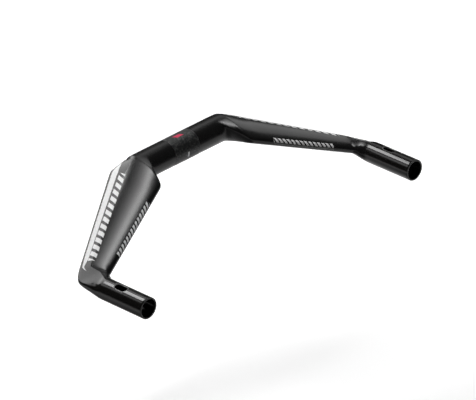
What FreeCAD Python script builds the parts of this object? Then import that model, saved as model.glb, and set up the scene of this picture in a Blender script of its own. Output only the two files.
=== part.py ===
"""Triathlon base bar, one hollow moulding: round clamp tube, two wing-shaped arms, two round grips.

Millimetres. X runs to the rider's right, Y runs forward along the grips and Z is up.
The origin is the middle of the clamp tube. One half is modelled and then mirrored.
"""

import FreeCAD, Part
import math
import os

import Sketcher

SIZES = {
    # clamp tube
    "clamp_diameter": 31.8,
    "clamp_reach": 62.0,
    "wall": 2.0,
    # grips
    "grip_diameter": 24.8,
    "grip_spacing": 420.0,
    "grip_drop": 54.6,
    "grip_reach": 160.0,
    "grip_length": 63.0,
    # edges of the arm's section
    "nose_radius": 5.0,
    "tail_radius": 3.0,
    "top_radius": 90.0,
    "belly_radius": 85.0,
    # shoulder, where the arm steps out of the clamp tube
    "shoulder_x": 70.5,
    "shoulder_nose_y": 38.9,
    "shoulder_nose_z": -3.0,
    "shoulder_crest_y": -0.5,
    "shoulder_crest_z": 15.0,
    "shoulder_tail_y": -12.7,
    "shoulder_tail_z": 3.0,
    # station where the trailing edge starts to sweep forward
    "sweep_x": 90.0,
    "sweep_nose_y": 45.2,
    "sweep_nose_z": -10.5,
    "sweep_crest_y": 6.3,
    "sweep_crest_z": 5.4,
    "sweep_tail_y": -12.9,
    "sweep_tail_z": -0.3,
    # end of the straight arm, measured back and up from the bend's pivot at grip height
    "bend_inset": 22.0,
    "bend_lead": 18.0,
    "tip_nose_back": 20.1,
    "tip_nose_rise": 6.8,
    "tip_crest_back": 40.9,
    "tip_crest_rise": 17.5,
    "tip_tail_back": 53.4,
    "tip_tail_rise": 13.2,
    "tip_top_radius": 70.0,
    "tip_belly_radius": 60.0,
    # section halfway round the bend, measured the same way on a turned plane
    "corner_turn": 45.0,
    "corner_nose_back": 17.0,
    "corner_nose_rise": 0.8,
    "corner_nose_radius": 7.0,
    "corner_crest_back": 22.0,
    "corner_crest_rise": 11.8,
    "corner_tail_back": 39.0,
    "corner_tail_rise": 0.9,
    "corner_tail_radius": 4.5,
    "corner_top_radius": 28.0,
    "corner_belly_radius": 25.0,
    # cable port on top of each grip
    "port_length": 16.5,
    "port_width": 8.5,
    "port_setback": 40.0,
    # rounded rims of the mouths and the ports
    "mouth_round": 0.6,
    "port_round": 0.8,
}

# Directions, in degrees from forward, where the arm's edges land on the round tube and on the grip.
TUBE_SPLITS = (-50.0, 54.5, 85.0, 165.0, 200.0)
GRIP_SPLITS = (-50.0, 40.0, 95.0, 170.0, 200.0)

GRIP_X = "(Sizes.grip_spacing / 2)"
GRIP_Z = "(-Sizes.grip_drop)"
BEND_X = f"({GRIP_X} - Sizes.bend_inset)"
BEND_Y = "(Sizes.grip_reach - Sizes.grip_length)"
GRIP_BACK = f"({GRIP_X} - {BEND_X})"

doc = FreeCAD.newDocument("base_bar")


def make_sheet():
    sheet = doc.addObject("Spreadsheet::Sheet", "Sizes")
    for row, (alias, size) in enumerate(SIZES.items(), start=1):
        sheet.set(f"A{row}", alias)
        sheet.set(f"B{row}", str(size))
        sheet.setAlias(f"B{row}", alias)
    doc.recompute()
    return sheet


sheet = make_sheet()
body = doc.addObject("PartDesign::Body", "base_bar")
body.Label = "base_bar"


def value(expression):
    """The number that an expression on the sheet gives now."""
    return float(sheet.evalExpression(expression))


def origin_plane(role):
    return next(plane for plane in body.Origin.OriginFeatures if plane.Role == role)


def new_sketch(name, base, turn="0"):
    """A sketch across the arm: its x points forward, or inward once turned, and its y points up."""
    sketch = body.newObject("Sketcher::SketchObject", name)
    sketch.AttachmentSupport = [(origin_plane("YZ_Plane"), "")]
    sketch.MapMode = "FlatFace"
    upright = FreeCAD.Rotation(FreeCAD.Vector(0, 1, 0), value(turn))
    sketch.AttachmentOffset = FreeCAD.Placement(FreeCAD.Vector(), upright)
    for axis, expression in zip("xyz", base):
        sketch.setExpression(f"AttachmentOffset.Base.{axis}", expression)
    if turn != "0":
        sketch.setExpression("AttachmentOffset.Rotation.Angle", turn)
    return sketch


def name_size(sketch, name, constraint, expression):
    index = sketch.addConstraint(constraint)
    sketch.renameConstraint(index, name)
    sketch.setExpression(f"Constraints.{name}", expression)


def place_point(sketch, name, geometry, point, spot):
    """Ties one point of a sketch to its two coordinates."""
    for axis, expression in zip("XY", spot):
        size = value(expression)
        constraint = Sketcher.Constraint(f"Distance{axis}", -1, 1, geometry, point, size)
        name_size(sketch, f"{name}_{axis.lower()}", constraint, expression)


def arc_about(centre, radius, start, end):
    circle = Part.Circle(FreeCAD.Vector(*centre, 0), FreeCAD.Vector(0, 0, 1), radius)
    while end < start:
        end += 2 * math.pi
    return Part.ArcOfCircle(circle, start, end)


def heading(start, end):
    return math.atan2(end[1] - start[1], end[0] - start[0])


def meet(first, first_reach, second, second_reach, side):
    """The point at two given distances from two points, on the chosen side of the line between them."""
    span = math.dist(first, second)
    along = (first_reach**2 - second_reach**2 + span**2) / (2 * span)
    off = side * math.sqrt(first_reach**2 - along**2)
    ahead = heading(first, second)
    return (
        first[0] + along * math.cos(ahead) - off * math.sin(ahead),
        first[1] + along * math.sin(ahead) + off * math.cos(ahead),
    )


def wing_section(name, base, sizes, turn="0", inset="0"):
    """Closed section of the arm: round nose, arched top, flat rear facet, round tail and arched belly.

    The top and the facet meet at a crest, and every other joint is smooth. An inset gives the inner wall.
    """
    nose, crest, tail = sizes["nose"], sizes["crest"], sizes["tail"]
    crest = (crest[0], f"{crest[1]} - {inset}")
    radii = {part: f"{sizes[part + '_radius']} - {inset}" for part in ("nose", "top", "tail", "belly")}
    nose_at, crest_at, tail_at = (tuple(value(part) for part in spot) for spot in (nose, crest, tail))
    nose_r, top_r, tail_r, belly_r = (value(radius) for radius in radii.values())

    top_at = meet(crest_at, top_r, nose_at, top_r - nose_r, -1)
    belly_at = meet(tail_at, belly_r - tail_r, nose_at, belly_r - nose_r, 1)
    facet_turn = heading(crest_at, tail_at) - math.asin(tail_r / math.dist(crest_at, tail_at))
    facet_end = (tail_at[0] + tail_r * math.cos(facet_turn - math.pi / 2),
                 tail_at[1] + tail_r * math.sin(facet_turn - math.pi / 2))

    nose_low, nose_high = heading(belly_at, nose_at), heading(top_at, nose_at)
    tail_high, tail_low = heading(tail_at, facet_end), heading(belly_at, tail_at)
    sketch = new_sketch(name, base, turn)
    sketch.addGeometry([
        arc_about(nose_at, nose_r, nose_low, nose_high),
        arc_about(top_at, top_r, nose_high, heading(top_at, crest_at)),
        Part.LineSegment(FreeCAD.Vector(*crest_at, 0), FreeCAD.Vector(*facet_end, 0)),
        arc_about(tail_at, tail_r, tail_high, tail_low),
        arc_about(belly_at, belly_r, tail_low, nose_low),
    ])
    START, END, CENTRE = 1, 2, 3
    NOSE, TOP, FACET, TAIL, BELLY = range(5)
    for before, after in ((NOSE, TOP), (FACET, TAIL), (TAIL, BELLY), (BELLY, NOSE)):
        sketch.addConstraint(Sketcher.Constraint("Tangent", before, END, after, START))
    sketch.addConstraint(Sketcher.Constraint("Coincident", TOP, END, FACET, START))
    place_point(sketch, "nose", NOSE, CENTRE, nose)
    place_point(sketch, "crest", FACET, START, crest)
    place_point(sketch, "tail", TAIL, CENTRE, tail)
    for edge, (part, radius) in zip((NOSE, TOP, TAIL, BELLY), radii.items()):
        name_size(sketch, f"{part}_radius", Sketcher.Constraint("Radius", edge, value(radius)), radius)
    return sketch


def round_section(name, base, centre, radius, splits, turn="0"):
    """A circle split into arcs where the arm's five edges land on it."""
    sketch = new_sketch(name, base, turn)
    middle = tuple(value(part) for part in centre)
    angles = [math.radians(angle) for angle in splits]
    ends = angles[1:] + angles[:1]
    sketch.addGeometry([arc_about(middle, value(radius), *arc) for arc in zip(angles, ends)])
    spokes = range(len(angles), 2 * len(angles))
    last = len(angles) - 1
    rim = [(middle[0] + value(radius) * math.cos(angle), middle[1] + value(radius) * math.sin(angle))
           for angle in angles]
    sketch.addGeometry(
        [Part.LineSegment(FreeCAD.Vector(*middle, 0), FreeCAD.Vector(*spot, 0)) for spot in rim], True)
    START, END, CENTRE = 1, 2, 3
    for arc, spoke in enumerate(spokes):
        following = (arc + 1) % len(angles)
        sketch.addConstraint(Sketcher.Constraint("Coincident", arc, END, following, START))
        sketch.addConstraint(Sketcher.Constraint("Coincident", spoke, START, 0, CENTRE))
        sketch.addConstraint(Sketcher.Constraint("Coincident", spoke, END, arc, START))
        sketch.addConstraint(Sketcher.Constraint("Angle", spoke, angles[arc]))
        if 0 < arc < last:
            sketch.addConstraint(Sketcher.Constraint("Coincident", arc, CENTRE, 0, CENTRE))
    sketch.addConstraint(Sketcher.Constraint("Equal", last, 0))
    place_point(sketch, "centre", 0, CENTRE, centre)
    name_size(sketch, "radius", Sketcher.Constraint("Radius", 0, value(radius)), radius)
    return sketch


def between(start, end, share):
    return f"({start} + (({end}) - ({start})) * {share})"


def mixed(start, end, share):
    """The sizes of a section part way between two others."""
    return {
        part: between(start[part], end[part], share) if part.endswith("_radius")
        else tuple(between(*pair, share) for pair in zip(start[part], end[part]))
        for part in start
    }


def arm_sections(label, inset):
    """All the sections of one half, from the clamp tube to the grip, for the outer or the inner wall."""
    spots, rounds = ("nose", "crest", "tail"), ("nose", "top", "tail", "belly")
    plain = {f"{part}_radius": f"Sizes.{part}_radius" for part in rounds}
    tip_arches = {f"{part}_radius": f"Sizes.tip_{part}_radius" for part in ("top", "belly")}
    shoulder = {spot: (f"Sizes.shoulder_{spot}_y", f"Sizes.shoulder_{spot}_z") for spot in spots}
    sweep = {spot: (f"Sizes.sweep_{spot}_y", f"Sizes.sweep_{spot}_z") for spot in spots}
    tip = {spot: (f"({BEND_Y} - Sizes.tip_{spot}_back)", f"({GRIP_Z} + Sizes.tip_{spot}_rise)")
           for spot in spots}
    share = f"(1 - Sizes.bend_lead / ({BEND_X} - Sizes.sweep_x))"
    corner = {spot: (f"-Sizes.corner_{spot}_back", f"{GRIP_Z} + Sizes.corner_{spot}_rise") for spot in spots}
    corner |= {f"{part}_radius": f"Sizes.corner_{part}_radius" for part in rounds}
    grip_at, grip_radius = (f"-{GRIP_BACK}", GRIP_Z), "Sizes.grip_diameter / 2"
    pivot = (BEND_Y, "0", BEND_X)

    def across(x):
        return ("0", "0", x)

    return {
        "tube": round_section(f"{label}_tube", across("Sizes.clamp_reach"), ("0", "0"),
                              f"Sizes.clamp_diameter / 2 - {inset}", TUBE_SPLITS),
        "shoulder": wing_section(f"{label}_shoulder", across("Sizes.shoulder_x"),
                                 shoulder | plain, inset=inset),
        "sweep": wing_section(f"{label}_sweep", across("Sizes.sweep_x"), sweep | plain, inset=inset),
        "lead": wing_section(f"{label}_lead", across(f"{BEND_X} - Sizes.bend_lead"),
                             mixed(sweep | plain, tip | plain | tip_arches, share), inset=inset),
        "tip": wing_section(f"{label}_tip", across(BEND_X), tip | plain | tip_arches, inset=inset),
        "corner": wing_section(f"{label}_corner", pivot, corner, "Sizes.corner_turn", inset),
        "grip": round_section(f"{label}_grip_root", pivot, grip_at, f"{grip_radius} - {inset}",
                              GRIP_SPLITS, "90"),
    }


def extrude(kind, name, sketch, length, backward):
    feature = body.newObject(f"PartDesign::{kind}", name)
    feature.Profile = sketch
    feature.setExpression("Length", length)
    feature.Reversed = backward
    doc.recompute()
    return feature


def loft(kind, name, sections, ruled):
    feature = body.newObject(f"PartDesign::{kind}", name)
    feature.Profile = sections[0]
    feature.Sections = sections[1:]
    feature.Ruled = ruled
    doc.recompute()
    return feature


def add_half(label, inset, hollow):
    """Adds or cuts one half: clamp tube, shoulder, straight arm, bend and grip."""
    cut = arm_sections(label, inset)
    doc.recompute()
    extrusion, lofting = ("Pocket", "SubtractiveLoft") if hollow else ("Pad", "AdditiveLoft")
    extrude(extrusion, f"{label}_clamp", cut["tube"], "Sizes.clamp_reach", not hollow)
    loft(lofting, f"{label}_fairing", [cut["tube"], cut["shoulder"]], True)
    loft(lofting, f"{label}_arm", [cut["shoulder"], cut["sweep"], cut["lead"]], True)
    loft(lofting, f"{label}_bend", [cut["lead"], cut["tip"], cut["corner"], cut["grip"]], False)
    extrude(extrusion, f"{label}_grip", cut["grip"], "Sizes.grip_length", hollow)


def cut_port():
    """The oval cable port through the top wall of the grip, drawn at the height of the grip's axis."""
    sketch = body.newObject("Sketcher::SketchObject", "port_outline")
    sketch.AttachmentSupport = [(origin_plane("XY_Plane"), "")]
    sketch.MapMode = "FlatFace"
    middle = (GRIP_X, "Sizes.grip_reach - Sizes.port_setback", GRIP_Z)
    for axis, expression in zip("xyz", middle):
        sketch.setExpression(f"AttachmentOffset.Base.{axis}", expression)
    radius = value("Sizes.port_width") / 2
    reach = (value("Sizes.port_length") - value("Sizes.port_width")) / 2
    sketch.addGeometry([
        arc_about((0, reach), radius, 0, math.pi),
        Part.LineSegment(FreeCAD.Vector(-radius, reach, 0), FreeCAD.Vector(-radius, -reach, 0)),
        arc_about((0, -reach), radius, math.pi, 2 * math.pi),
        Part.LineSegment(FreeCAD.Vector(radius, -reach, 0), FreeCAD.Vector(radius, reach, 0)),
    ])
    START, END, CENTRE = 1, 2, 3
    for edge in range(4):
        sketch.addConstraint(Sketcher.Constraint("Tangent", edge, END, (edge + 1) % 4, START))
    sketch.addConstraint(Sketcher.Constraint("Equal", 0, 2))
    sketch.addConstraint(Sketcher.Constraint("Symmetric", 0, CENTRE, 2, CENTRE, -1, 1))
    sketch.addConstraint(Sketcher.Constraint("Vertical", 1))
    width = Sketcher.Constraint("Radius", 0, radius)
    name_size(sketch, "end_radius", width, "Sizes.port_width / 2")
    length = Sketcher.Constraint("DistanceY", 2, CENTRE, 0, CENTRE, 2 * reach)
    name_size(sketch, "end_spacing", length, "Sizes.port_length - Sizes.port_width")
    doc.recompute()
    extrude("Pocket", "port", sketch, "Sizes.grip_diameter", True)


def round_edges(name, radius, wanted):
    """Rounds the edges of the half so far that pass a test."""
    before = body.Tip
    names = [f"Edge{index}" for index, edge in enumerate(before.Shape.Edges, start=1) if wanted(edge)]
    fillet = body.newObject("PartDesign::Fillet", name)
    fillet.Base = (before, names)
    fillet.setExpression("Radius", radius)
    doc.recompute()


def at_mouth(edge):
    return all(abs(vertex.Y - value("Sizes.grip_reach")) < 1e-6 for vertex in edge.Vertexes)


def on_port_rim(edge):
    """The port's outer rim: its points lie on the outside of the grip, inside the port's outline."""
    axis_y = value(f"Sizes.grip_reach - Sizes.port_setback")
    for spot in edge.discretize(5):
        across = math.hypot(spot.x - value(GRIP_X), spot.z - value(GRIP_Z))
        if abs(across - value("Sizes.grip_diameter / 2")) > 1e-3:
            return False
        if abs(spot.y - axis_y) > value("Sizes.port_length / 2") + 1e-3 or spot.z < value(GRIP_Z):
            return False
    return True


def mirror_half():
    mirror = body.newObject("PartDesign::Mirrored", "other_half")
    mirror.TransformMode = "Whole shape"
    mirror.MirrorPlane = (origin_plane("YZ_Plane"), [""])
    body.Tip = mirror
    doc.recompute()


def check_all():
    """Stops if any object failed or any solid is empty or broken."""
    for item in doc.Objects:
        if "Invalid" in item.State or "Error" in item.State:
            raise RuntimeError(f"{item.Name} failed: {item.State}")
        if item.isDerivedFrom("PartDesign::Feature") or item == body:
            if item.Shape.isNull() or not item.Shape.isValid():
                raise RuntimeError(f"{item.Name} has no sound shape")
    if len(body.Shape.Solids) != 1:
        raise RuntimeError("the bar is not one solid")


add_half("outer", "0", hollow=False)
add_half("inner", "Sizes.wall", hollow=True)
cut_port()
round_edges("mouth_rounds", "Sizes.mouth_round", at_mouth)
round_edges("port_rounds", "Sizes.port_round", on_port_rim)
mirror_half()
check_all()

os.makedirs("parts", exist_ok=True)
body.Shape.exportStep("parts/base_bar.step")
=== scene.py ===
"""Triathlon base bar in a white studio: one hollow carbon moulding with satin arms and glossy grips.

The shape is worked out in millimetres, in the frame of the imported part: X to the rider's right,
Y forward along the grips and Z up, with the origin in the middle of the clamp tube.
"""

import math

import bmesh
import bpy
import numpy as np
from mathutils import Matrix, Vector


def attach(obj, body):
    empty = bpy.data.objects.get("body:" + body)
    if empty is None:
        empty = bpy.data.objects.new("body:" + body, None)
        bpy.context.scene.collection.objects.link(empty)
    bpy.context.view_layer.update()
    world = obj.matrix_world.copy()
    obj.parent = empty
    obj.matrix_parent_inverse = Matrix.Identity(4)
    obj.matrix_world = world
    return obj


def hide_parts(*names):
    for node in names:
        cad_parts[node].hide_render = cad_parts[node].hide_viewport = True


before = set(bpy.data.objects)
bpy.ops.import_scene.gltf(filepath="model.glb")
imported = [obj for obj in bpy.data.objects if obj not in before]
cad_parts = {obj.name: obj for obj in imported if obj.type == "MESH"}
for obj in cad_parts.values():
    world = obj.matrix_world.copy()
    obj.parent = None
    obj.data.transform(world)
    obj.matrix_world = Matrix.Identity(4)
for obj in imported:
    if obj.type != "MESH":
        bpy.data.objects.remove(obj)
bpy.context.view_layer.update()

MM = 0.001
MIRROR = np.array([-1.0, 1.0, 1.0])

# clamp tube and grips
CLAMP_RADIUS = 15.9
CLAMP_ZONE = 19.0
WALL = 2.0
GRIP_RADIUS = 12.4
GRIP_X = 210.0
GRIP_Z = -54.6
GRIP_REACH = 160.0
GRIP_ROOT = 97.0
MOUTH_ROUND = 0.6

# cable port on top of each grip
PORT_Y = 121.0
PORT_LEAN = math.radians(8)
PORT_WIDTH = 9.0
PORT_LENGTH = 16.5
PORT_ROUND = 0.8

# the bend turns about an upright line, and its sections are measured back and up from there
BEND_X = 188.0
BEND_Y = GRIP_ROOT

# points on each section's five runs: nose, top, rear facet, tail and belly
RUNS = (14, 24, 14, 8, 32)
RING = sum(RUNS)
CREST = RUNS[0] + RUNS[1]
TAIL = CREST + RUNS[2]
TAIL_END = TAIL + RUNS[3]
# directions, in degrees from forward, where those runs land on the tube and on the grip
TUBE_SPLITS = (-50.0, 54.5, 85.0, 165.0, 200.0, 310.0)
GRIP_SPLITS = (-50.0, 40.0, 95.0, 170.0, 200.0, 310.0)
# distances from the middle at which the round tube ends along those runs
TUBE_ENDS = (66.0, 55.0, 66.5, 66.5, 62.0, 66.0)

# rows of points along each half: tube, neck, shoulder and arm, three stretches of the bend, and the grip
TUBE_ROWS, NECK_ROWS, SHOULDER_ROWS, ARM_ROWS = 16, 10, 12, 48
BEND_ROWS = (16, 8, 8)
GRIP_ROWS = 32
TIP_ROW = TUBE_ROWS + NECK_ROWS + SHOULDER_ROWS + ARM_ROWS
ROOT_ROW = TIP_ROW + sum(BEND_ROWS)

# sections from the tube to the grip: the nose's middle, the crest and the tail's middle, and the arcs' radii
SHOULDER = dict(nose=(38.9, -3.0), crest=(-0.5, 15.0), tail=(-10.6, 6.2),
                nose_r=5.0, top_r=90.0, tail_r=3.0, belly_r=85.0)
SWEEP = dict(nose=(45.2, -10.5), crest=(6.3, 5.4), tail=(-12.9, -0.3),
             nose_r=5.0, top_r=90.0, tail_r=3.0, belly_r=85.0)
TIP = dict(nose=(BEND_Y - 20.1, GRIP_Z + 6.4), crest=(BEND_Y - 40.9, GRIP_Z + 18.1),
           tail=(BEND_Y - 53.4, GRIP_Z + 13.2), nose_r=5.0, top_r=70.0, tail_r=3.0, belly_r=60.0)
CORNER = dict(nose=(-18.3, GRIP_Z + 2.4), crest=(-22.5, GRIP_Z + 12.8), tail=(-43.2, GRIP_Z + 0.4),
              nose_r=8.4, top_r=17.0, tail_r=2.8, belly_r=26.0)
COLLAR = dict(nose=(-20.0, GRIP_Z + 0.4), crest=(-21.0, GRIP_Z + 12.4), tail=(-33.2, GRIP_Z + 1.0),
              nose_r=10.4, top_r=15.0, tail_r=4.4, belly_r=15.0)
SHOULDER_X, SWEEP_X = 70.5, 90.0
CORNER_TURN, COLLAR_TURN = math.radians(45), math.radians(67)
# the arm ends on a slant: the nose at a distance from the middle, and more for each millimetre behind it
MITRE_X, MITRE = 193.5, 0.35
# the arm's top reaches this much further in towards the tube, most of all nearer to its nose
LIP, LIP_LEAN = 3.2, 0.7
# how much the points of an arm's section and of the tube crowd towards the crest
CROWDING, TUBE_CROWDING = 1.6, 4.0
# how strongly the curves into the corner keep to the arm's direction along the runs
BEND_PULL = (1.0, 0.6, 0.35, 0.6, 1.0, 1.0)
# how often the inside of the bend is smoothed, and the rows and columns over which that rises and falls
FLOW_PASSES = 16
FLOW_ROWS = ((TIP_ROW - 5, TIP_ROW + 2), (ROOT_ROW + 3, ROOT_ROW - 6))
FLOW_COLUMNS = ((RUNS[0] - 8, RUNS[0]), (CREST - 3, CREST - 12))

# how far the creases of the neck, the arm and the bend are rounded, how often, and between which rows
NECK_SOFTNESS, ARM_SOFTNESS, BEND_SOFTNESS = 0.45, 0.4, 0.5
ROUNDING_PASSES = 3
SOFT_START = TUBE_ROWS - 2
NECK_END = TUBE_ROWS + NECK_ROWS + SHOULDER_ROWS // 2
SOFT_END = ROOT_ROW + 3

# rows from the grip's root, and directions round the grip in degrees, that the patch around a port takes up
PORT_ROWS = (6, 18)
PORT_SPREAD = (56.0, 140.0)
# places of the rings of points between a port and its patch's edge, as shares of the way out
PATCH_RINGS = (0.7, 0.4, 0.15)
# points on the rounding of a mouth and of a port, and how far the pale cut laminate shows there, painted pale
# also as a highlight on the rounded rim
MOUTH_STEPS, PORT_STEPS = 5, 6
MOUTH_BARE_AND_HIGHLIGHT, PORT_BARE_AND_HIGHLIGHT = 0.3, 1.0

# blocks of the shell's rows, in their order from the middle out and back on both sides
RIGHT_SKIN, RIGHT_RIM, RIGHT_BORE, LEFT_BORE, LEFT_RIM, LEFT_SKIN = range(6)


def shares(count):
    return np.linspace(0, 1, count, endpoint=False)


def crowded(count, crowding):
    """Shares of a run whose points crowd towards its end."""
    return 1 - (1 - shares(count))**crowding


def arc(centre, radius, start, end, steps):
    angles = start + (end - start) * steps
    return np.add(centre, radius * np.stack([np.cos(angles), np.sin(angles)], 1))


def meet(first, first_reach, second, second_reach, side):
    """The point at two given distances from two points, on the chosen side of the line between them."""
    span = np.subtract(second, first)
    length = np.hypot(*span)
    ahead = span / length
    along = (first_reach**2 - second_reach**2 + length**2) / (2 * length)
    off = side * math.sqrt(first_reach**2 - along**2)
    return first + ahead * along + np.array([-ahead[1], ahead[0]]) * off


def heading(start, end):
    return math.atan2(end[1] - start[1], end[0] - start[0])


def after(angle, start):
    """The same direction, counted on from a start so that an arc runs forward."""
    while angle < start:
        angle += 2 * math.pi
    return angle


def wing_ring(nose, crest, tail, nose_r, top_r, tail_r, belly_r):
    """One arm section: round nose, arched top, flat rear facet, round tail and arched belly."""
    nose, crest, tail = (np.array(spot) for spot in (nose, crest, tail))
    top = meet(crest, top_r, nose, top_r - nose_r, -1)
    belly = meet(tail, belly_r - tail_r, nose, belly_r - nose_r, 1)
    reach = np.hypot(*(tail - crest))
    slope = heading(crest, tail) - math.asin(tail_r / reach)
    facet_end = crest + math.sqrt(reach**2 - tail_r**2) * np.array([math.cos(slope), math.sin(slope)])
    nose_low, nose_high = heading(belly, nose), heading(top, nose)
    tail_high = after(heading(tail, facet_end), 0)
    tail_low = after(heading(belly, tail), tail_high)
    from_crest = shares(RUNS[2])**CROWDING
    return np.concatenate([
        arc(nose, nose_r, nose_low, nose_high, shares(RUNS[0])),
        arc(top, top_r, nose_high, after(heading(top, crest), nose_high), crowded(RUNS[1], CROWDING)),
        crest + (facet_end - crest) * from_crest[:, None],
        arc(tail, tail_r, tail_high, tail_low, shares(RUNS[3])),
        arc(belly, belly_r, tail_low, after(nose_low, tail_low), shares(RUNS[4])),
    ])


def spread(splits, crowding=1.0):
    """One value for each point of a ring, from the values at the ends of its runs."""
    values = []
    for run, count in enumerate(RUNS):
        steps = crowded(count, crowding) if run == 1 else shares(count)
        values.append(splits[run] + (splits[run + 1] - splits[run]) * steps)
    return np.concatenate(values)


def round_ring(centre, radius, splits, crowding=1.0):
    angles = np.radians(spread(splits, crowding))
    return np.add(centre, radius * np.stack([np.cos(angles), np.sin(angles)], 1))


def across_at(x, ring):
    """A ring drawn forward and up, set square across the bar at a distance from its middle."""
    return np.column_stack([np.broadcast_to(x, len(ring)), ring])


def turned(turn, ring):
    """A ring drawn inward and up from the bend's upright line, on a plane turned about that line."""
    inward = np.array([-math.sin(turn), math.cos(turn)])
    spots = np.array([BEND_X, BEND_Y]) + ring[:, :1] * inward
    return np.column_stack([spots, ring[:, 1]])


def straight_rows(start, end, count):
    return [start + (end - start) * share for share in np.linspace(0, 1, count + 1)[1:]]


def smooth_rows(start, end, leave, arrive, count, pull=1.0):
    """Rows on curves that leave and arrive along given directions, as strongly as the pull says."""
    rows = []
    reach = np.linalg.norm(end - start, axis=1)[:, None] * pull
    for s in np.linspace(0, 1, count + 1)[1:]:
        rows.append((2 * s**3 - 3 * s**2 + 1) * start + (s**3 - 2 * s**2 + s) * reach * leave
                    + (3 * s**2 - 2 * s**3) * end + (s**3 - s**2) * reach * arrive)
    return rows


def direction(start, end):
    step = end - start
    return step / np.linalg.norm(step, axis=1)[:, None]


def passing(before, here, beyond):
    """Direction in which smooth curves through three rows pass the middle one."""
    first = np.linalg.norm(here - before, axis=1)[:, None]
    second = np.linalg.norm(beyond - here, axis=1)[:, None]
    way = direction(before, here) * second + direction(here, beyond) * first
    return way / np.linalg.norm(way, axis=1)[:, None]


def ease(values, low, high):
    """A smooth rise from nought to one while the values run from low to high."""
    steps = np.clip((values - low) / (high - low), 0, 1)
    return steps * steps * (3 - 2 * steps)


def relaxed(rows, share, passes):
    """The rows drawn towards the mean of their neighbours, each point by its share."""
    for _ in range(passes):
        beside = np.roll(rows, 1, 1) + np.roll(rows, -1, 1)
        along = np.roll(rows, 1, 0) + np.roll(rows, -1, 0)
        rows = rows + ((beside + along) / 4 - rows) * share[:, :, None]
    return rows


def outer_half():
    """Rows of the outer skin from the middle of the clamp tube to just short of the right mouth."""
    tube = round_ring((0, 0), CLAMP_RADIUS, TUBE_SPLITS, TUBE_CROWDING)
    middle, tube_end = across_at(0, tube), across_at(spread(TUBE_ENDS, TUBE_CROWDING), tube)
    shoulder = across_at(SHOULDER_X, wing_ring(**SHOULDER))
    sweep = across_at(SWEEP_X, wing_ring(**SWEEP))
    lip = np.zeros((RING, 1))
    lip[RUNS[0]:CREST, 0] = LIP * np.sin(math.pi * crowded(RUNS[1], CROWDING)**LIP_LEAN)
    shoulder = shoulder - (sweep - shoulder) * lip / (SWEEP_X - SHOULDER_X)
    square_tip = across_at(BEND_X, wing_ring(**TIP))
    mitre = MITRE_X + MITRE * (TIP["nose"][0] - square_tip[:, 1:2])
    tip = sweep + (square_tip - sweep) * (mitre - SWEEP_X) / (BEND_X - SWEEP_X)
    corner = turned(CORNER_TURN, wing_ring(**CORNER))
    collar = turned(COLLAR_TURN, wing_ring(**COLLAR))
    grip = round_ring((BEND_X - GRIP_X, GRIP_Z), GRIP_RADIUS, GRIP_SPLITS)
    grip_root = turned(math.pi / 2, grip)
    mouth = grip_root + np.array([0, GRIP_REACH - MOUTH_ROUND - GRIP_ROOT, 0])

    arm_way = direction(sweep, tip)
    corner_way = passing(tip, corner, collar)
    collar_way = passing(corner, collar, grip_root)
    grip_way = np.broadcast_to((0.0, 1.0, 0.0), tip.shape)

    rows = [middle]
    rows += straight_rows(middle, tube_end, TUBE_ROWS)
    rows += straight_rows(tube_end, shoulder, NECK_ROWS)
    rows += straight_rows(shoulder, sweep, SHOULDER_ROWS)
    rows += straight_rows(sweep, tip, ARM_ROWS)
    rows += smooth_rows(tip, corner, arm_way, corner_way, BEND_ROWS[0], spread(BEND_PULL)[:, None])
    rows += smooth_rows(corner, collar, corner_way, collar_way, BEND_ROWS[1])
    rows += smooth_rows(collar, grip_root, collar_way, grip_way, BEND_ROWS[2])
    rows += straight_rows(grip_root, mouth, GRIP_ROWS)

    # the inside of the bend flows from the arm's top into the grip
    number, column = np.arange(len(rows)), np.arange(RING)
    lengthwise = ease(number, *FLOW_ROWS[0]) * ease(number, *FLOW_ROWS[1])
    ringwise = ease(column, *FLOW_COLUMNS[0]) * ease(column, *FLOW_COLUMNS[1])
    return relaxed(np.array(rows), lengthwise[:, None] * ringwise, FLOW_PASSES)


def inward_offset(rows, distance):
    """The rows moved into the wall, square to the skin."""
    along = np.gradient(rows, axis=0)
    around = np.roll(rows, -1, 1) - np.roll(rows, 1, 1)
    square = np.cross(around, along)
    square /= np.linalg.norm(square, axis=2)[:, :, None]
    return rows - distance * square


def rim_rows(grip_row):
    """Rounded rim of a mouth, from the outer skin over the end to the bore."""
    axis = np.array([GRIP_X, 0, GRIP_Z])
    spokes = (grip_row - axis) * (1, 0, 1) / GRIP_RADIUS
    turns = np.linspace(0, math.pi / 2, MOUTH_STEPS)
    rows = []
    for turn in turns[1:]:
        radius = GRIP_RADIUS - MOUTH_ROUND * (1 - math.cos(turn))
        rows.append((radius, GRIP_REACH - MOUTH_ROUND * (1 - math.sin(turn))))
    for turn in turns[:-1]:
        radius = GRIP_RADIUS - WALL + MOUTH_ROUND * (1 - math.sin(turn))
        rows.append((radius, GRIP_REACH - MOUTH_ROUND * (1 - math.cos(turn))))
    return np.array([axis + spokes * radius + (0, y, 0) for radius, y in rows])


def shell_blocks(half):
    """The closed shell's rows in six blocks, and the numbers that each block's rows have in the half."""
    bore = inward_offset(half, WALL)
    spokes = (half[ROOT_ROW:] - (GRIP_X, 0, GRIP_Z)) * (1, 0, 1)
    bore[ROOT_ROW:] = half[ROOT_ROW:] - spokes * (WALL / GRIP_RADIUS)
    bore[0, :, 0] = 0
    rim = rim_rows(half[-1])
    blocks = [half, rim, bore[::-1], bore[1:] * MIRROR, rim[::-1] * MIRROR, half[:0:-1] * MIRROR]
    number = np.arange(len(half))
    last = np.full(len(rim), number[-1])
    numbers = [number, last, number[::-1], number[1:], last, number[:0:-1]]
    return blocks, numbers


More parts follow.
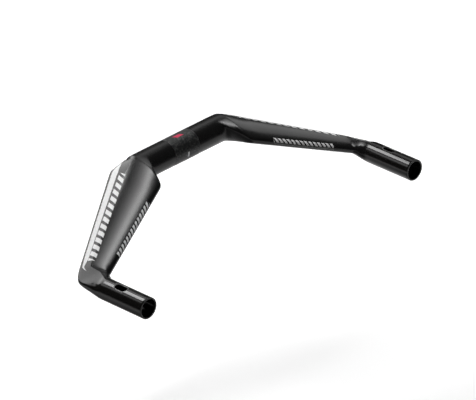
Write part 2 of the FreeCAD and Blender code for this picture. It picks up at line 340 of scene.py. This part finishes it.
def point_values(half, blocks, numbers):
    """Each point's place along and across its arm, in millimetres, and how it is painted and rounded."""
    grid, number = np.concatenate(blocks), np.concatenate(numbers)
    block = np.repeat(np.arange(len(blocks)), [len(rows) for rows in blocks])
    is_skin = np.isin(block, (RIGHT_SKIN, LEFT_SKIN))
    is_rim = np.isin(block, (RIGHT_RIM, LEFT_RIM))

    crest_steps = np.linalg.norm(np.diff(half[:, CREST], axis=0), axis=1)
    half_along = np.concatenate([[0], np.cumsum(crest_steps)])
    ring_steps = np.linalg.norm(np.roll(grid, -1, 1) - grid, axis=2)
    across = np.cumsum(ring_steps, axis=1) - ring_steps
    across -= across[:, CREST:CREST + 1]

    softness = np.zeros(len(half))
    softness[SOFT_START:TIP_ROW] = ARM_SOFTNESS
    softness[SOFT_START:NECK_END] = NECK_SOFTNESS
    softness[TIP_ROW:SOFT_END] = BEND_SOFTNESS

    # the rims of the mouths show pale cut laminate, which also serves as a painted highlight
    by_row = dict(along=half_along[number], bare_and_highlight=np.where(is_rim, MOUTH_BARE_AND_HIGHLIGHT, 0.0),
                  soften=np.where(is_skin, softness[number], 0.0))
    values = {name: np.repeat(amounts[:, None], RING, 1) for name, amounts in by_row.items()}
    values["across"] = across
    values["upper"] = np.outer(is_skin | is_rim, np.arange(RING) < TAIL_END).astype(float)
    return values


def port_reach(ahead, aside, spare):
    """Distance from the port's middle to its oval edge, widened by a spare margin, in a given direction."""
    radius = PORT_WIDTH / 2 + spare
    half = (PORT_LENGTH - PORT_WIDTH) / 2
    ahead, aside = abs(ahead), abs(aside)
    if ahead * radius <= half * aside:
        return radius / aside
    return half * ahead + math.sqrt((half * ahead)**2 - half**2 + radius**2)


def on_grip(ahead, aside, depth, side):
    """A point of the grip by its place from the port's middle, its way round and its depth in the wall."""
    turn = math.pi / 2 + PORT_LEAN + aside / GRIP_RADIUS
    radius = GRIP_RADIUS - depth
    return (side * (GRIP_X - radius * math.cos(turn)), PORT_Y + ahead, GRIP_Z + radius * math.sin(turn))


def port_rings():
    """A port's rings from its patch in the skin to that in the bore: margin, depth, way out and how far the
    pale cut laminate shows, painted pale also as a rim highlight.
    """
    rings = [(PORT_ROUND, 0, share, 0.0) for share in PATCH_RINGS]
    for turn in np.linspace(0, math.pi / 2, PORT_STEPS):
        rings.append((PORT_ROUND * (1 - math.sin(turn)), PORT_ROUND * (1 - math.cos(turn)), 0.0, PORT_BARE_AND_HIGHLIGHT))
    rings += [(0, (PORT_ROUND + WALL) / 2, 0.0, 0.0), (0, WALL, 0.0, 0.0)]
    rings += [(PORT_ROUND, WALL, share, 0.0) for share in reversed(PATCH_RINGS)]
    return rings


def patch_edge(low, high):
    """Rows and columns of the points round a port's patch, in order."""
    last = PORT_ROWS[1] - PORT_ROWS[0]
    edge = [(0, column) for column in range(low, high)]
    edge += [(row, high) for row in range(last)]
    edge += [(last, column) for column in range(high, low, -1)]
    edge += [(row, low) for row in range(last, 0, -1)]
    return edge


def build_shell():
    """The whole moulding as one closed mesh: outer skin, rims, bore and the walls of both ports."""
    half = outer_half()
    blocks, numbers = shell_blocks(half)
    starts = np.cumsum([0] + [len(rows) for rows in blocks])
    grid = np.concatenate(blocks)
    count = len(grid)
    values = point_values(half, blocks, numbers)
    mouth_along = values["along"].max()

    shell = bmesh.new()
    names = ("along", "across", "upper", "bare_and_highlight", "soften")
    layers = {name: shell.verts.layers.float.new(name) for name in names}

    def add_spot(spot, amounts):
        vert = shell.verts.new(Vector(spot) * MM)
        for name, amount in amounts.items():
            vert[layers[name]] = amount
        return vert

    def bridge(first, second):
        for index in range(len(first)):
            beyond = (index + 1) % len(first)
            shell.faces.new((first[index], first[beyond], second[beyond], second[index]))

    # the patches that the ports are cut in, row by row from the grip's root
    turns = spread(GRIP_SPLITS)
    low, high = (int(np.argmin(abs(turns - limit))) for limit in PORT_SPREAD)
    patches = {}
    holes, inside = set(), set()
    for block in (RIGHT_SKIN, RIGHT_BORE, LEFT_BORE, LEFT_SKIN):
        wanted = range(ROOT_ROW + PORT_ROWS[0], ROOT_ROW + PORT_ROWS[1] + 1)
        patch = [int(starts[block] + np.flatnonzero(numbers[block] == row)[0]) for row in wanted]
        patches[block] = patch
        for row in range(min(patch), max(patch)):
            holes.update((row, column) for column in range(low, high))
        for row in range(min(patch) + 1, max(patch)):
            inside.update((row, column) for column in range(low + 1, high))

    verts = {}
    for row in range(count):
        for column in range(RING):
            if (row, column) not in inside:
                amounts = {name: values[name][row, column] for name in names}
                verts[row, column] = add_spot(grid[row, column], amounts)
    for row in range(count):
        for column in range(RING):
            if (row, column) not in holes:
                following, beside = (row + 1) % count, (column + 1) % RING
                shell.faces.new((verts[row, column], verts[row, beside],
                                 verts[following, beside], verts[following, column]))

    edge = patch_edge(low, high)
    for side, skin, bore in ((1, RIGHT_SKIN, RIGHT_BORE), (-1, LEFT_SKIN, LEFT_BORE)):
        loops = [[verts[patches[skin][row], column] for row, column in edge]]
        # each ring's last value is how far pale cut laminate shows, painted pale also as a rim highlight
        for spare, depth, share, cut in port_rings():
            loop = []
            for row, column in edge:
                ahead = grid[patches[skin][row], column][1] - PORT_Y
                aside = (math.radians(turns[column] - 90) - PORT_LEAN) * GRIP_RADIUS
                reach = math.hypot(ahead, aside)
                target = port_reach(ahead / reach, aside / reach, spare) / reach
                scale = share + (1 - share) * target
                amounts = dict(along=mouth_along, across=aside, upper=0.0, bare_and_highlight=cut, soften=0.0)
                loop.append(add_spot(on_grip(ahead * scale, aside * scale, depth, side), amounts))
            loops.append(loop)
        loops.append([verts[patches[bore][row], column] for row, column in edge])
        for first, second in zip(loops[:-1], loops[1:]):
            bridge(first, second)

    bmesh.ops.recalc_face_normals(shell, faces=shell.faces)
    mesh = bpy.data.meshes.new("base_bar_shell")
    shell.to_mesh(mesh)
    shell.free()
    return mesh


def moulding_tree(material):
    """Geometry Nodes that round the creases of the shell as a mould does, and lay the finish on it."""
    tree = bpy.data.node_groups.new("rounded_moulding", "GeometryNodeTree")
    tree.interface.new_socket("Geometry", in_out="INPUT", socket_type="NodeSocketGeometry")
    passes = tree.interface.new_socket("Rounding passes", in_out="INPUT", socket_type="NodeSocketInt")
    tree.interface.new_socket("Geometry", in_out="OUTPUT", socket_type="NodeSocketGeometry")
    start, end = tree.nodes.new("NodeGroupInput"), tree.nodes.new("NodeGroupOutput")
    weight = tree.nodes.new("GeometryNodeInputNamedAttribute")
    weight.data_type = "FLOAT"
    weight.inputs["Name"].default_value = "soften"
    place = tree.nodes.new("GeometryNodeInputPosition")
    blur = tree.nodes.new("GeometryNodeBlurAttribute")
    blur.data_type = "FLOAT_VECTOR"
    move = tree.nodes.new("GeometryNodeSetPosition")
    shade = tree.nodes.new("GeometryNodeSetShadeSmooth")
    realize = tree.nodes.new("GeometryNodeRealizeInstances")
    paint = tree.nodes.new("GeometryNodeSetMaterial")
    paint.inputs["Material"].default_value = material
    vector_in = next(s for s in blur.inputs if s.name == "Value" and s.enabled)
    vector_out = next(s for s in blur.outputs if s.enabled)
    weight_out = next(s for s in weight.outputs if s.name == "Attribute" and s.enabled)
    tree.links.new(place.outputs[0], vector_in)
    tree.links.new(start.outputs["Rounding passes"], blur.inputs["Iterations"])
    tree.links.new(weight_out, blur.inputs["Weight"])
    tree.links.new(start.outputs["Geometry"], move.inputs["Geometry"])
    tree.links.new(vector_out, move.inputs["Position"])
    tree.links.new(move.outputs["Geometry"], shade.inputs["Geometry"])
    tree.links.new(shade.outputs["Geometry"], realize.inputs["Geometry"])
    tree.links.new(realize.outputs["Geometry"], paint.inputs["Geometry"])
    tree.links.new(paint.outputs["Geometry"], end.inputs["Geometry"])
    return tree, passes.identifier


def make_bar(material):
    draft = bpy.data.objects.new("base_bar_draft", build_shell())
    bpy.context.scene.collection.objects.link(draft)
    tree, passes = moulding_tree(material)
    modifier = draft.modifiers.new("rounded moulding", "NODES")
    modifier.node_group = tree
    modifier[passes] = ROUNDING_PASSES
    evaluated = draft.evaluated_get(bpy.context.evaluated_depsgraph_get())
    mesh = bpy.data.meshes.new_from_object(evaluated)
    mesh.name = "base_bar_moulding"
    bar = bpy.data.objects.new("moulded_base_bar", mesh)
    bpy.context.scene.collection.objects.link(bar)
    bpy.data.objects.remove(draft)
    return bar


class Paint:
    """Shorthand for the nodes of one material."""

    def __init__(self, name):
        self.material = bpy.data.materials.new(name)
        self.material.use_nodes = True
        self.nodes = self.material.node_tree.nodes
        self.links = self.material.node_tree.links
        self.shader = self.nodes["Principled BSDF"]

    def feed(self, socket, source):
        """Link a socket to another node's output, or set it to a plain value."""
        if isinstance(source, bpy.types.NodeSocket):
            self.links.new(source, socket)
        else:
            socket.default_value = source

    def math(self, operation, first, second=None, third=None):
        node = self.nodes.new("ShaderNodeMath")
        node.operation = operation
        for socket, source in zip(node.inputs, (first, second, third)):
            if source is not None:
                self.feed(socket, source)
        return node.outputs[0]

    def both(self, first, second):
        return self.math("MULTIPLY", first, second)

    def either(self, first, second):
        return self.math("MAXIMUM", first, second)

    def attribute(self, name):
        node = self.nodes.new("ShaderNodeAttribute")
        node.attribute_name = name
        return node.outputs["Fac"]

    def ramp(self, value, low, high, start=0.0, end=1.0):
        """A smooth rise from one value to another while the input runs from low to high."""
        node = self.nodes.new("ShaderNodeMapRange")
        node.interpolation_type = "SMOOTHSTEP"
        for socket, source in zip(node.inputs, (value, low, high, start, end)):
            self.feed(socket, source)
        return node.outputs[0]

    def within(self, value, low, high, soft):
        """One between two limits and zero outside, with soft edges."""
        rise = self.ramp(self.math("SUBTRACT", value, low), -soft, soft)
        fall = self.ramp(self.math("SUBTRACT", high, value), -soft, soft)
        return self.both(rise, fall)

    def line(self, value, slope, offset):
        return self.math("MULTIPLY_ADD", value, slope, offset)

    def limit(self, value, operation, lines):
        """The least or the greatest of several lines."""
        first, *others = (self.line(value, slope, offset) for slope, offset in lines)
        for other in others:
            first = self.math(operation, first, other)
        return first

    def noise(self, vector, scale, detail, roughness=0.5):
        node = self.nodes.new("ShaderNodeTexNoise")
        self.feed(node.inputs["Vector"], vector)
        for name, amount in (("Scale", scale), ("Detail", detail), ("Roughness", roughness)):
            node.inputs[name].default_value = amount
        return node.outputs["Fac"]

    def mix(self, share, first, second):
        """Mix two colours."""
        node = self.nodes.new("ShaderNodeMix")
        node.data_type = "RGBA"
        colours = [socket for socket in node.inputs if socket.type == "RGBA"]
        self.feed(node.inputs[0], share)
        self.feed(colours[0], first)
        self.feed(colours[1], second)
        return next(socket for socket in node.outputs if socket.type == "RGBA")

    def blend(self, share, first, second):
        """Mix two plain values."""
        node = self.nodes.new("ShaderNodeMix")
        node.data_type = "FLOAT"
        values = [socket for socket in node.inputs if socket.type == "VALUE" and socket.name in "AB"]
        self.feed(node.inputs[0], share)
        self.feed(values[0], first)
        self.feed(values[1], second)
        return next(socket for socket in node.outputs if socket.type == "VALUE")


# linear colours of the laminate and of what is printed on it
SATIN = (0.005, 0.005, 0.005, 1)
SATIN_FIBRE = (0.009, 0.009, 0.009, 1)
GLOSS = (0.0058, 0.0052, 0.0045, 1)
GRIT_DARK = (0.008, 0.009, 0.009, 1)
GRIT_PALE = (0.095, 0.097, 0.095, 1)
# pale cut laminate on the rims, which also serves as a painted rim highlight
CUT_EDGE_AND_HIGHLIGHT = (0.13, 0.13, 0.13, 1)
WHITE_INK = (0.96, 0.96, 0.96, 1)
GREY_INK = (0.22, 0.22, 0.22, 1)
RED_INK = (0.72, 0.03, 0.10, 1)

# roughness of each finish, as its change from spot to spot and its least value
SATIN_ROUGH, GLOSS_ROUGH = (0.05, 0.17), (0.04, 0.12)
TUBE_ROUGH, GRIT_ROUGH = (0.06, 0.20), (0.3, 0.25)
INK_ROUGH = 0.35
COAT_IOR = 1.5
BUMP_DEPTH, BUMP_STRENGTH, GRIT_HEIGHT = 0.00004, 0.25, 6.0

# noise steps: to the millimetre for fibres along and across an arm, to the metre for clouds and specks
FIBRE_ALONG, FIBRE_ACROSS = 0.06, 1.4
CLOUDS, SPECKS = 30.0, 430.0
GRIT_RANGE = (0.45, 0.72)

# the glossy grips begin at a line across the grip between two limits, and the tube's finish fades out
GLOSS_LINE, GLOSS_LIMITS = (-0.5, 258.5), (253.5, 262.0)
TUBE_FADE = (75.0, 55.0)

# printed marks in millimetres, along an arm from the middle and across it from the crest
# a limit across is a line along the arm, with its slope and its place at the middle
EDGE = 0.25
STRIPE_ENDS = (78.0, 240.0)
STRIPE_INNER = ((-0.038, 13.7), (-0.213, 30.0), (0.160, -29.1))
STRIPE_OUTER = ((-0.063, 24.5), (-0.130, 38.9), (0.25, -4.8))
REAR_BARS = dict(low=(-0.0147, -0.4), high=(-0.0147, 8.4), ends=(93.0, 219.0))
FRONT_BARS = dict(low=(0.180, -64.7), high=(0.172, -58.2), ends=(104.0, 197.0))
THIN_LINE = dict(low=(0.180, -67.1), high=(0.180, -66.2), ends=(104.0, 197.0))
REAR_PITCH, FRONT_PITCH, BAR_LEAN, BAR_SHARE = 9.8, 7.2, 0.45, (0.18, 0.78)
# marks on the clamp zone, by their limits along X, Y and Z
TICK_X, TICK_Z = (-2.2, 0.2), (-5.5, 0.5)
TAB_X, TAB_Y, TAB_LEAN = (-3.5, 6.5), (-1.2, 3.2), 0.8


def band(paint, along, across, low, high, ends):
    """A band between two lines that run out along an arm, from one end to the other."""
    strip = paint.within(across, paint.line(along, *low), paint.line(along, *high), EDGE)
    return paint.both(strip, paint.within(along, *ends, EDGE))


def slanted_bars(paint, along, across, pitch):
    """Plain slanted bars, one at each step out along an arm."""
    slanted = paint.math("MULTIPLY_ADD", across, BAR_LEAN, along)
    step = paint.math("FRACT", paint.math("DIVIDE", slanted, pitch))
    return paint.within(step, *BAR_SHARE, EDGE / pitch)


def arm_marks(paint, along, across, upper):
    """White stripe and bars on the rear facet, white bars on the front edge and a thin line below those."""
    inner = paint.limit(along, "MAXIMUM", STRIPE_INNER)
    outer = paint.limit(along, "MINIMUM", STRIPE_OUTER)
    white = paint.both(paint.within(across, inner, outer, EDGE), paint.within(along, *STRIPE_ENDS, EDGE))
    for bars, pitch in ((REAR_BARS, REAR_PITCH), (FRONT_BARS, FRONT_PITCH)):
        cut = slanted_bars(paint, along, across, pitch)
        white = paint.either(white, paint.both(cut, band(paint, along, across, **bars)))
    thin = band(paint, along, across, **THIN_LINE)
    return paint.both(white, upper), paint.both(thin, upper)


def clamp_marks(paint, x, y, z):
    """White centre tick on the front of the clamp zone and a slanted red tab on its top."""
    tick = paint.both(paint.within(x, *TICK_X, EDGE), paint.within(z, *TICK_Z, EDGE))
    lean = paint.math("MULTIPLY_ADD", y, TAB_LEAN, x)
    tab = paint.both(paint.within(lean, *TAB_X, EDGE), paint.within(y, *TAB_Y, EDGE))
    return paint.both(tick, paint.ramp(y, 0.0, EDGE)), paint.both(tab, paint.ramp(z, 0.0, EDGE))


def laminate():
    """Black carbon laminate: satin arms, glossy grips and tube, a gritty clamp zone, printed marks and pale
    cut rims that also carry a painted highlight.
    """
    paint = Paint("black_laminate")
    along, across, upper, bare_and_highlight = (paint.attribute(name) for name in ("along", "across", "upper", "bare_and_highlight"))
    place = paint.nodes.new("ShaderNodeTexCoord").outputs["Object"]
    split = paint.nodes.new("ShaderNodeSeparateXYZ")
    paint.feed(split.inputs[0], place)
    x, y, z = (paint.math("DIVIDE", part, MM) for part in split.outputs)
    aside = paint.math("ABSOLUTE", x)

    # where each finish lies
    edge = paint.either(paint.line(across, *GLOSS_LINE), GLOSS_LIMITS[0])
    edge = paint.math("MINIMUM", edge, GLOSS_LIMITS[1])
    gloss = paint.ramp(paint.math("SUBTRACT", along, edge), -EDGE, EDGE)
    tube = paint.ramp(aside, *TUBE_FADE)
    clamp = paint.ramp(aside, CLAMP_ZONE + EDGE, CLAMP_ZONE - EDGE)
    white, thin = arm_marks(paint, along, across, upper)
    tick, tab = clamp_marks(paint, x, y, z)
    white = paint.either(white, tick)

    # fibres run out along the arms
    stretch = paint.nodes.new("ShaderNodeCombineXYZ")
    paint.feed(stretch.inputs[0], paint.math("MULTIPLY", along, FIBRE_ALONG))
    paint.feed(stretch.inputs[1], paint.math("MULTIPLY", across, FIBRE_ACROSS))
    fibre = paint.noise(stretch.outputs[0], 1.0, detail=3.0)
    cloud = paint.noise(place, CLOUDS, detail=2.0)
    speck = paint.noise(place, SPECKS, detail=3.0, roughness=0.75)

    colour = paint.mix(gloss, paint.mix(fibre, SATIN, SATIN_FIBRE), GLOSS)
    grit = paint.ramp(speck, *GRIT_RANGE)
    colour = paint.mix(clamp, colour, paint.mix(grit, GRIT_DARK, GRIT_PALE))
    # the rims get the pale cut laminate, which also serves as a painted highlight, and then the inks
    for share, tone in ((bare_and_highlight, CUT_EDGE_AND_HIGHLIGHT), (thin, GREY_INK), (tab, RED_INK), (white, WHITE_INK)):
        colour = paint.mix(share, colour, tone)

    rough = paint.blend(gloss, paint.line(cloud, *SATIN_ROUGH), paint.line(cloud, *GLOSS_ROUGH))
    rough = paint.blend(tube, rough, paint.line(cloud, *TUBE_ROUGH))
    rough = paint.blend(clamp, rough, paint.line(speck, *GRIT_ROUGH))
    rough = paint.blend(white, rough, INK_ROUGH)

    bump = paint.nodes.new("ShaderNodeBump")
    bump.inputs["Distance"].default_value = BUMP_DEPTH
    bump.inputs["Strength"].default_value = BUMP_STRENGTH
    height = paint.both(fibre, paint.line(gloss, -1.0, 1.0))
    height = paint.blend(clamp, height, paint.math("MULTIPLY", speck, GRIT_HEIGHT))
    paint.feed(bump.inputs["Height"], height)

    paint.feed(paint.shader.inputs["Base Color"], colour)
    paint.feed(paint.shader.inputs["Roughness"], rough)
    paint.feed(paint.shader.inputs["Normal"], bump.outputs["Normal"])
    paint.shader.inputs["IOR"].default_value = COAT_IOR
    return paint.material


# the camera's turns in degrees, its place in millimetres along its own axes, and its lens in pixels
CAMERA_AZIMUTH, CAMERA_ELEVATION, CAMERA_ROLL = 134.633, 28.414, -1.322
CAMERA_RIGHT, CAMERA_UP, CAMERA_BACK = 66.0, -57.28, 7207.1
LENS_PIXELS, PHOTO_PIXELS = 6548.3, 476
SENSOR_WIDTH, VIEW_END = 36.0, 100


def set_camera():
    """Long lens at the photograph's angle, aimed along its own axes."""
    camera = bpy.data.objects.new("photo_camera", bpy.data.cameras.new("photo_camera"))
    bpy.context.scene.collection.objects.link(camera)
    azimuth, elevation = math.radians(CAMERA_AZIMUTH), math.radians(CAMERA_ELEVATION)
    roll = math.radians(CAMERA_ROLL)
    back = Vector((math.sin(azimuth) * math.cos(elevation), -math.cos(azimuth) * math.cos(elevation),
                   math.sin(elevation)))
    level = Vector((math.cos(azimuth), math.sin(azimuth), 0))
    rise = back.cross(level)
    right = math.cos(roll) * level + math.sin(roll) * rise
    up = math.cos(roll) * rise - math.sin(roll) * level
    place = (CAMERA_RIGHT * right + CAMERA_UP * up + CAMERA_BACK * back) * MM
    camera.matrix_world = Matrix.Translation(place) @ Matrix((right, up, back)).transposed().to_4x4()
    camera.data.sensor_width = SENSOR_WIDTH
    camera.data.lens = LENS_PIXELS * SENSOR_WIDTH / PHOTO_PIXELS
    camera.data.clip_end = VIEW_END
    bpy.context.scene.camera = camera


# the studio is laid out in metres
WHITE = (1, 1, 1, 1)
ROOM_GLOW, BACKDROP_GLOW = 0.05, 1.0
# strips overhead from the back to the front: their limits along Y and their radiance
STRIPS = ((-1.10, -0.75, 1.0), (-0.75, -0.45, 2.2), (-0.45, -0.20, 4.2), (-0.20, 0.15, 9.0))
STRIP_X, STRIP_Z, STRIP_WIDTH = -0.35, 2.5, 2.0
# other lamps: name, place, direction they face, width, height and radiance
LAMPS = (
    ("key_box", (0.04, -0.97, 1.29), (0.0, 0.62, -0.78), 0.74, 0.2, 9.5),
    ("fill_box", (0.60, -0.80, 0.80), (-0.5, 0.65, -0.57), 0.4, 0.35, 1.5),
    ("rear_card", (-0.35, -2.2, 1.15), (0.2, 0.87, -0.45), 1.9, 1.7, 2.6),
    ("side_card", (-2.22, -0.86, 1.15), (0.75, 0.49, -0.45), 0.8, 2.0, 0.8),
    ("high_card", (-1.81, -1.57, 1.95), (0.58, 0.51, -0.63), 0.9, 1.1, 0.6),
)
# paper floor: its half width and height, and the tones that the bar mirrors at distances from a spot on it: a
# painted shadow under the bar and a painted fall-off of light further out
FLOOR_SIZE, FLOOR_Z = 3.0, -0.30
FLOOR_SPOT = (0.22, 0.12, FLOOR_Z)
SHADE_REACH, SHADE_TONES = (0.15, 0.50), (0.15, 0.95)
DUSK_REACH, DUSK_TONES = (0.8, 1.3), (1.0, 0.15)
PAPER_TONE, PAPER_GLOW, PAPER_ROUGH = 0.92, 0.4, 0.9


def softbox(name, place, facing, width, height, radiance):
    """A rectangular lamp at a place in the studio, facing a direction, as bright as its radiance says."""
    lamp = bpy.data.lights.new(name, "AREA")
    lamp.shape = "RECTANGLE"
    lamp.size, lamp.size_y = width, height
    lamp.energy = radiance * math.pi * width * height
    holder = bpy.data.objects.new(name, lamp)
    bpy.context.scene.collection.objects.link(holder)
    holder.location = place
    holder.rotation_euler = Vector(facing).to_track_quat("-Z", "Y").to_euler()
    holder.visible_camera = False


def set_room():
    """A dark room all round, with a white backdrop for the camera."""
    scene = bpy.context.scene
    scene.view_settings.view_transform = "Standard"
    scene.world = bpy.data.worlds.new("studio")
    scene.world.use_nodes = True
    nodes, links = scene.world.node_tree.nodes, scene.world.node_tree.links
    room, backdrop = nodes["Background"], nodes.new("ShaderNodeBackground")
    for shade, glow in ((room, ROOM_GLOW), (backdrop, BACKDROP_GLOW)):
        shade.inputs["Color"].default_value = WHITE
        shade.inputs["Strength"].default_value = glow
    rays, choice = nodes.new("ShaderNodeLightPath"), nodes.new("ShaderNodeMixShader")
    links.new(rays.outputs["Is Camera Ray"], choice.inputs[0])
    links.new(room.outputs[0], choice.inputs[1])
    links.new(backdrop.outputs[0], choice.inputs[2])
    links.new(choice.outputs[0], nodes["World Output"].inputs["Surface"])


def set_lamps():
    """A bank of strips overhead, brighter to the front, and softboxes and cards behind and beside the bar."""
    for near, far, radiance in STRIPS:
        place = (STRIP_X, (near + far) / 2, STRIP_Z)
        softbox("overhead_strip", place, (0, 0, -1), STRIP_WIDTH, far - near, radiance)
    for lamp in LAMPS:
        softbox(*lamp)


def set_floor():
    """White paper floor that keeps the bar's shadow and looks darker in the bar's own reflections, where its
    colour carries a painted shadow under the bar and a painted fall-off of light further out.
    """
    mesh = bpy.data.meshes.new("studio_floor")
    corners = [(-1, -1), (1, -1), (1, 1), (-1, 1)]
    mesh.from_pydata([(x * FLOOR_SIZE, y * FLOOR_SIZE, FLOOR_Z) for x, y in corners], [], [(0, 1, 2, 3)])
    floor = bpy.data.objects.new("studio_floor", mesh)
    bpy.context.scene.collection.objects.link(floor)
    paper = Paint("white_paper")
    seen = paper.nodes.new("ShaderNodeLightPath").outputs["Is Camera Ray"]
    reach = paper.nodes.new("ShaderNodeVectorMath")
    reach.operation = "DISTANCE"
    paper.feed(reach.inputs[0], paper.nodes.new("ShaderNodeTexCoord").outputs["Object"])
    reach.inputs[1].default_value = FLOOR_SPOT
    distance = reach.outputs["Value"]
    # painted shade in the colour seen by all but camera rays: a painted shadow near the spot and a painted
    # fall-off of light far out
    shade = paper.ramp(distance, *SHADE_REACH, *SHADE_TONES)
    dusk = paper.ramp(distance, *DUSK_REACH, *DUSK_TONES)
    tone = paper.either(paper.both(shade, dusk), paper.math("MULTIPLY", seen, PAPER_TONE))
    colour = paper.nodes.new("ShaderNodeCombineColor")
    for socket in colour.inputs[:3]:
        paper.feed(socket, tone)
    paper.feed(paper.shader.inputs["Base Color"], colour.outputs[0])
    paper.shader.inputs["Roughness"].default_value = PAPER_ROUGH
    paper.shader.inputs["Emission Color"].default_value = WHITE
    paper.feed(paper.shader.inputs["Emission Strength"], paper.math("MULTIPLY", seen, PAPER_GLOW))
    mesh.materials.append(paper.material)


bar = make_bar(laminate())
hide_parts("base_bar")
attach(bar, "root")
set_camera()
set_room()
set_lamps()
set_floor()
